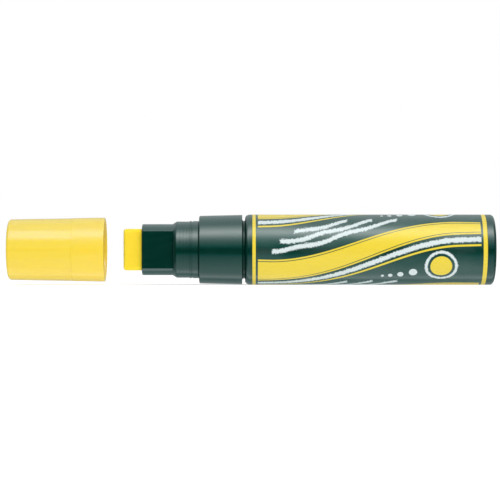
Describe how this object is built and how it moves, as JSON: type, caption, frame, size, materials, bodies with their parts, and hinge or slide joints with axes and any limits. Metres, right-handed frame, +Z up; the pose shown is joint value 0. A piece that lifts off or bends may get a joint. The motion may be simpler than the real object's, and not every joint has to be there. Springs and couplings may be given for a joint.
{
  "type": "liquid chalk marker",
  "caption": "Wide block-nib liquid chalk marker lying on its side with its cap pulled off in line; the nib presses in to open a spring valve, a ball mixes the ink and the cap pushes on.",
  "frame": {"origin": "on the floor under the middle of the whole length, cap included, with the cap pulled off", "axes": "+X along the marker from the cap to the tail, +Z up, the nib's broad faces towards -Y and +Y"},
  "size_m": [0.1754, 0.0254, 0.0254],
  "materials": {
    "dark_plastic": "dark green moulded plastic, satin gloss",
    "printed_film": "printed film, dark green, yellow and white, semi-gloss",
    "nib_fibre": "bonded fibre soaked with yellow ink",
    "inner_plastic": "natural moulded plastic",
    "seal_rubber": "soft black rubber",
    "spring_steel": "drawn spring wire",
    "ball_steel": "polished steel",
    "cap_plastic": "yellow moulded plastic, satin gloss"
  },
  "bodies": {
    "marker": {"barrel": "dark_plastic", "barrel_label": "printed_film", "front_collar": "dark_plastic", "nib_holder": "dark_plastic", "valve_body": "inner_plastic", "seat_washer": "seal_rubber", "spring_cage": "inner_plastic", "valve_spring": "spring_steel"},
    "nib_unit": {"nib": "nib_fibre", "nib_carrier": "inner_plastic", "valve_stem": "inner_plastic"},
    "ball": {"mixing_ball": "ball_steel"},
    "cap": {"cap_shell": "cap_plastic", "cap_liner": "cap_plastic"}
  },
  "joints": [
    {"name": "nib_press", "type": "slide", "parent": "marker", "child": "nib_unit", "axis": [1, 0, 0], "range_m": [0, 0.0025], "stiffness_N_per_m": 1200, "springref_m": -0.001, "deforming": ["valve_spring"]},
    {"name": "ball_roll", "type": "slide", "parent": "marker", "child": "ball", "axis": [1, 0, 0], "range_m": [-0.0607, 0.0118]},
    {"name": "cap_push_on", "type": "slide", "parent": "marker", "child": "cap", "axis": [1, 0, 0], "range_m": [0, 0.0338]}
  ]
}
